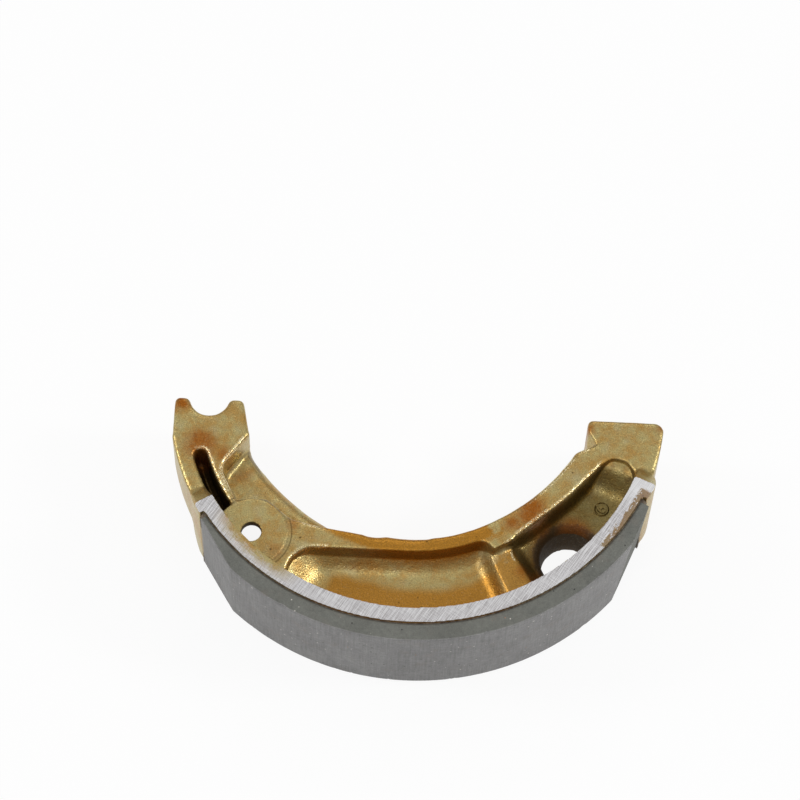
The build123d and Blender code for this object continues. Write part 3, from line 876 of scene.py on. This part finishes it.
class BRAKESHOE_OT_lining(Operator):
    """Make the lining as a strip swept round the rim, with bevelled ends and chipped edges"""

    bl_idname = "brakeshoe.lining"
    bl_label = "Lining"

    def execute(self, context):
        look = context.scene.shoe_lining
        low, high = LINING_LOW.z, LINING_HIGH.z
        inner = look.outer - look.thickness
        finish = lining_finish(look, inner / MM, look.outer / MM, high / MM, low / MM)

        def point(radius, angle, z):
            x, y = plan(radius, angle)
            return Vector((x, y, z))

        tip = point(inner + look.pivot_tip, look.end, 0.0)
        end = point(look.outer, look.pivot_bevel, 0.0)
        pivot_normal = (end - tip).cross(Vector((0, 0, 1)))
        cam_tip = point(inner + look.cam_tip, look.start, high)
        cam_end = point(look.outer, look.cam_bevel, high)
        cam_low = point(look.outer, look.cam_bevel + look.cam_skew, low)
        cam_normal = (cam_end - cam_tip).cross(cam_low - cam_end)
        bevels = []
        for normal, place in ((pivot_normal, end), (cam_normal, cam_end)):
            normal = normal.normalized()
            if normal.dot(Vector((place.x, place.y, 0.0))) < 0:
                normal.negate()
            bevels.append((normal, normal.dot(place)))
        piece = new_piece("friction_strip")
        use_tree(piece, self.strip(finish), {
            "Inner": inner, "Outer": look.outer, "Low": low, "High": high,
            "Start": radians(look.start), "End": radians(look.end),
            "Step": look.step, "Edge": look.edge, "Chips": look.chips,
            "Pivot Bevel": bevels[0][0], "Pivot Reach": bevels[0][1],
            "Cam Bevel": bevels[1][0], "Cam Reach": bevels[1][1],
        })
        bake_modifiers(piece)
        shade(piece, angle=32)
        settle(piece, "lining", "friction_lining")
        return {"FINISHED"}

    def strip(self, finish):
        """A rounded oblong section swept along an arc and cut back by the two bevels."""
        tree, n, _, given = new_geometry_tree("lining strip", (
            ("Inner", "Float"), ("Outer", "Float"), ("Low", "Float"), ("High", "Float"),
            ("Start", "Float"), ("End", "Float"), ("Step", "Float"), ("Edge", "Float"),
            ("Chips", "Float"), ("Pivot Bevel", "Vector"), ("Pivot Reach", "Float"),
            ("Cam Bevel", "Vector"), ("Cam Reach", "Float"),
        ))
        middle = (given["Inner"] + given["Outer"]) * 0.5
        span = given["End"] - given["Start"]
        arc = n.add(
            "GeometryNodeCurveArc", {"mode": "RADIUS"},
            {"Resolution": span * middle / given["Step"], "Radius": middle,
             "Start Angle": -given["End"], "Sweep Angle": span},
        )
        arc = n.add("GeometryNodeSetCurveNormal", {"mode": "Z_UP"}, {"Curve": arc})
        sides = {"Width": given["Outer"] - given["Inner"], "Height": given["High"] - given["Low"]}
        oblong = n.add("GeometryNodeCurvePrimitiveQuadrilateral", {"mode": "RECTANGLE"}, sides)
        oblong = n.add(
            "GeometryNodeFilletCurve", {"mode": "POLY"},
            {"Curve": oblong, "Count": 2, "Radius": given["Edge"]},
        )
        oblong = n.add(
            "GeometryNodeResampleCurve", {"mode": "LENGTH"},
            {"Curve": oblong, "Length": given["Step"]},
        )
        shape = n.add(
            "GeometryNodeCurveToMesh", {}, {"Curve": arc, "Profile Curve": oblong, "Fill Caps": True}
        )
        lift = n.vector(0.0, 0.0, (given["Low"] + given["High"]) * 0.5)
        shape = n.add("GeometryNodeSetPosition", {}, {"Geometry": shape, "Offset": lift})
        place = n.add("GeometryNodeInputPosition")
        x, y, z = place.axes()
        radius = n.length(n.vector(x, y))
        out = n.vector(x / radius, y / radius)
        # how far out each bevel lets a point lie
        reach = {}
        for name in ("Pivot", "Cam"):
            normal = given[name + " Bevel"]
            facing = n.dot(normal, out).most(0.05)
            reach[name] = (given[name + " Reach"] - normal.axes()[2] * z) / facing
        limit = radius.least(reach["Pivot"]).least(reach["Cam"]).most(given["Inner"])
        # how far below the working face and the pivot end's bevel, in millimetres
        below = (given["Outer"].least(reach["Pivot"]) - limit) * (1 / MM)
        shape = n.store(shape, "below", below)
        # chips along the long edges
        gap = (given["High"] - z).least(z - given["Low"])
        at_edge = 1.0 - (gap / (0.45 * MM)).least(1.0)
        at_face = 1.0 - ((given["Outer"] - radius) / (0.6 * MM)).least(1.0)
        chip = n.noise(place, 420.0, 3.0, 0.6).rise(0.6, 0.72)
        ragged = n.noise(place, 1300.0, 2.0, 0.6)
        bite = (chip * 0.8 + ragged * 0.22) * at_edge * at_face * given["Chips"]
        limit = (limit - bite).most(given["Inner"])
        moved = n.vector(x / radius * limit, y / radius * limit, z)
        shape = n.add("GeometryNodeSetPosition", {}, {"Geometry": shape, "Position": moved})
        end_geometry_tree(n, shape, finish)
        return tree


class BRAKESHOE_OT_bond(Operator):
    """Give the bonding film its baked adhesive finish"""

    bl_idname = "brakeshoe.bond"
    bl_label = "Bond line"

    def execute(self, context):
        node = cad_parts["bond_film"]
        node.data.materials.clear()
        node.data.materials.append(bond_finish(context.scene.shoe_bond))
        return {"FINISHED"}


class BRAKESHOE_OT_marks(Operator):
    """Raise a ringed cavity number on the floor of the deep pocket of each side"""

    bl_idname = "brakeshoe.marks"
    bl_label = "Cavity marks"

    def execute(self, context):
        look = context.scene.shoe_marks
        casting = bpy.data.objects["cast_shoe"]
        x, y = plan(look.radius, look.angle)
        text = bpy.data.curves.new("number", "FONT")
        text.body, text.size = look.number, look.ring * 2.4
        text.align_x, text.align_y = "CENTER", "CENTER"
        text.extrude = look.height
        text.bevel_depth, text.bevel_resolution = look.line * 0.3, 1
        source = bpy.data.objects.new("number_source", text)
        context.scene.collection.objects.link(source)
        context.view_layer.update()
        digit = bpy.data.meshes.new_from_object(
            source.evaluated_get(context.evaluated_depsgraph_get())
        )
        bpy.data.objects.remove(source)
        shape = bmesh.new()
        shape.from_mesh(digit)
        middle = sum((v.co for v in shape.verts), Vector()) / max(1, len(shape.verts))
        bmesh.ops.translate(shape, vec=-middle, verts=shape.verts)
        turn = Matrix.Rotation(radians(look.turn), 3, "Z")
        bmesh.ops.rotate(shape, matrix=turn, verts=shape.verts)
        self.ring(shape, look)
        one = bpy.data.meshes.new("mark")
        shape.to_mesh(one)
        shape.free()
        both = bmesh.new()
        middle_z = (CAST_LOW.z + CAST_HIGH.z) / 2
        for turned in (False, True):
            start = len(both.verts)
            both.from_mesh(one)
            both.verts.ensure_lookup_table()
            fresh = both.verts[start:]
            bmesh.ops.translate(both, vec=(x, y, HALF_WEB * MM), verts=fresh)
            if turned:
                bmesh.ops.rotate(both, matrix=Matrix.Rotation(pi, 3, "Y"), verts=fresh)
            bmesh.ops.translate(both, vec=(0, 0, middle_z), verts=fresh)
        bmesh.ops.remove_doubles(both, verts=both.verts, dist=0.001 * MM)
        bmesh.ops.recalc_face_normals(both, faces=both.faces)
        piece = new_piece("cavity_marks")
        both.to_mesh(piece.data)
        both.free()
        piece.data.materials.append(casting.data.materials[0])
        shade(piece, angle=30)
        settle(piece, "cast_alloy")
        return {"FINISHED"}

    def ring(self, shape, look):
        """Adds a low round-backed ring to the mark."""
        steps, shoulder = 40, look.height * 0.6
        inner, outer = look.ring - look.line / 2, look.ring + look.line / 2
        profile = ((inner, -look.height), (outer, -look.height), (outer, shoulder),
                   (look.ring, look.height), (inner, shoulder))
        loops = [
            [shape.verts.new((r * cos(2 * pi * i / steps), r * sin(2 * pi * i / steps), z))
             for r, z in profile]
            for i in range(steps)
        ]
        for i in range(steps):
            here, there = loops[i], loops[(i + 1) % steps]
            for j in range(len(profile)):
                k = (j + 1) % len(profile)
                shape.faces.new((here[j], there[j], there[k], here[k]))


class BRAKESHOE_OT_stage(Operator):
    """Set the floor, the light and the camera"""

    bl_idname = "brakeshoe.stage"
    bl_label = "Stage"

    def execute(self, context):
        look, scene = context.scene.shoe_stage, context.scene
        half = look.floor_size / 2
        floor = new_piece("floor")
        floor.data.from_pydata(
            [(-half, -half, 0), (half, -half, 0), (half, half, 0), (-half, half, 0)], [],
            [(0, 1, 2, 3)],
        )
        floor.data.transform(Matrix.Translation((0, 0, CAST_LOW.z - FLOOR_GAP)))
        floor.data.materials.append(self.floor_finish(look))
        self.light_sky(scene, look)
        for name, place, size, share in LAMPS:
            self.lamp(scene, name, Vector(place), size, share)
        self.place_camera(scene, look)
        scene.view_settings.view_transform = "Standard"
        return {"FINISHED"}

    def floor_finish(self, look):
        """Pale floor that shows near white to the camera and keeps the shadow."""
        made, n = new_material("pale_floor")
        seen = n.add("ShaderNodeLightPath", out="Is Camera Ray")
        seen = seen.most(seen.other("Is Glossy Ray")).most(seen.other("Is Transmission Ray"))
        diffuse = n.add("ShaderNodeBsdfDiffuse", {}, {"Color": look.floor_colour})
        white = n.add("ShaderNodeEmission", {}, {"Color": WHITE, "Strength": 1.0})
        mixed = n.add("ShaderNodeMixShader", {}, {"Fac": seen * WHITE_SHARE, 1: diffuse, 2: white})
        n.add("ShaderNodeOutputMaterial", {}, {"Surface": mixed})
        return made

    def light_sky(self, scene, look):
        """Even light, brighter from above, white where it is seen."""
        world = bpy.data.worlds.new("soft tent")
        world.use_nodes = True
        world.node_tree.nodes.clear()
        n = Nodes(world.node_tree)
        height = n.add("ShaderNodeTexCoord", out="Generated").axes()[2]
        level = 0.5 + height.rise(0.0, 1.0) * 0.7
        seen = n.add("ShaderNodeLightPath", out="Is Camera Ray")
        light = n.add("ShaderNodeBackground", {}, {"Strength": level * look.sky})
        white = n.add("ShaderNodeBackground", {}, {"Color": WHITE, "Strength": 1.0})
        mixed = n.add("ShaderNodeMixShader", {}, {"Fac": seen, 1: light, 2: white})
        n.add("ShaderNodeOutputWorld", {}, {"Surface": mixed})
        scene.world = world

    def lamp(self, scene, name, place, size, share):
        """Soft square lamp turned to the origin, which adds its share to a white face there."""
        data = bpy.data.lights.new(name, "AREA")
        data.shape, data.size = "SQUARE", size
        data.energy = share * pi * pi * place.length ** 2
        lamp = bpy.data.objects.new(name, data)
        lamp.location = place
        lamp.rotation_mode = "QUATERNION"
        lamp.rotation_quaternion = (Vector() - place).to_track_quat("-Z", "Y")
        scene.collection.objects.link(lamp)

    def place_camera(self, scene, look):
        """Camera at the view's angle, found from the shoe's own arcs."""
        tilt, reach = look.elevation, look.distance
        back = Vector((0, -cos(tilt), sin(tilt)))
        right, up = Vector((1, 0, 0)), Vector((0, sin(tilt), cos(tilt)))
        c, s = cos(look.roll), sin(look.roll)
        turn = Matrix.Rotation(HEADING, 3, "Z")
        centre = turn @ (back * reach + SIGHT)
        columns = (turn @ (right * c - up * s), turn @ (right * s + up * c), turn @ back)
        data = bpy.data.cameras.new("camera")
        data.lens, data.sensor_width = look.lens, SENSOR
        data.clip_start, data.clip_end = 0.01, 50.0
        camera = bpy.data.objects.new("camera", data)
        camera.matrix_world = Matrix.Translation(centre) @ Matrix(columns).transposed().to_4x4()
        scene.collection.objects.link(camera)
        scene.camera = camera


class BRAKESHOE_PT_panel(Panel):
    """Lists the pieces of the shoe and their settings"""

    bl_label = "Brake Shoe"
    bl_idname = "BRAKESHOE_PT_panel"
    bl_space_type = "VIEW_3D"
    bl_region_type = "UI"
    bl_category = "Brake Shoe"

    def draw(self, context):
        for maker, group in MAKERS:
            box = self.layout.box()
            box.operator(maker.bl_idname)
            settings = getattr(context.scene, group)
            for name in settings.__annotations__:
                box.prop(settings, name)


MAKERS = (
    (BRAKESHOE_OT_stage, "shoe_stage"),
    (BRAKESHOE_OT_casting, "shoe_casting"),
    (BRAKESHOE_OT_lining, "shoe_lining"),
    (BRAKESHOE_OT_bond, "shoe_bond"),
    (BRAKESHOE_OT_marks, "shoe_marks"),
)
GROUPS = (
    ("shoe_stage", StageSettings),
    ("shoe_casting", CastingSettings),
    ("shoe_lining", LiningSettings),
    ("shoe_bond", BondSettings),
    ("shoe_marks", MarkSettings),
)


def register():
    for name, group in GROUPS:
        bpy.utils.register_class(group)
        setattr(bpy.types.Scene, name, PointerProperty(type=group))
    for maker, _ in MAKERS:
        bpy.utils.register_class(maker)
    bpy.utils.register_class(BRAKESHOE_PT_panel)


def unregister():
    bpy.utils.unregister_class(BRAKESHOE_PT_panel)
    for maker, _ in reversed(MAKERS):
        bpy.utils.unregister_class(maker)
    for name, group in reversed(GROUPS):
        delattr(bpy.types.Scene, name)
        bpy.utils.unregister_class(group)


def main():
    register()
    for maker, _ in MAKERS:
        group, name = maker.bl_idname.split(".")
        getattr(getattr(bpy.ops, group), name)()


if __name__ == "__main__":
    main()
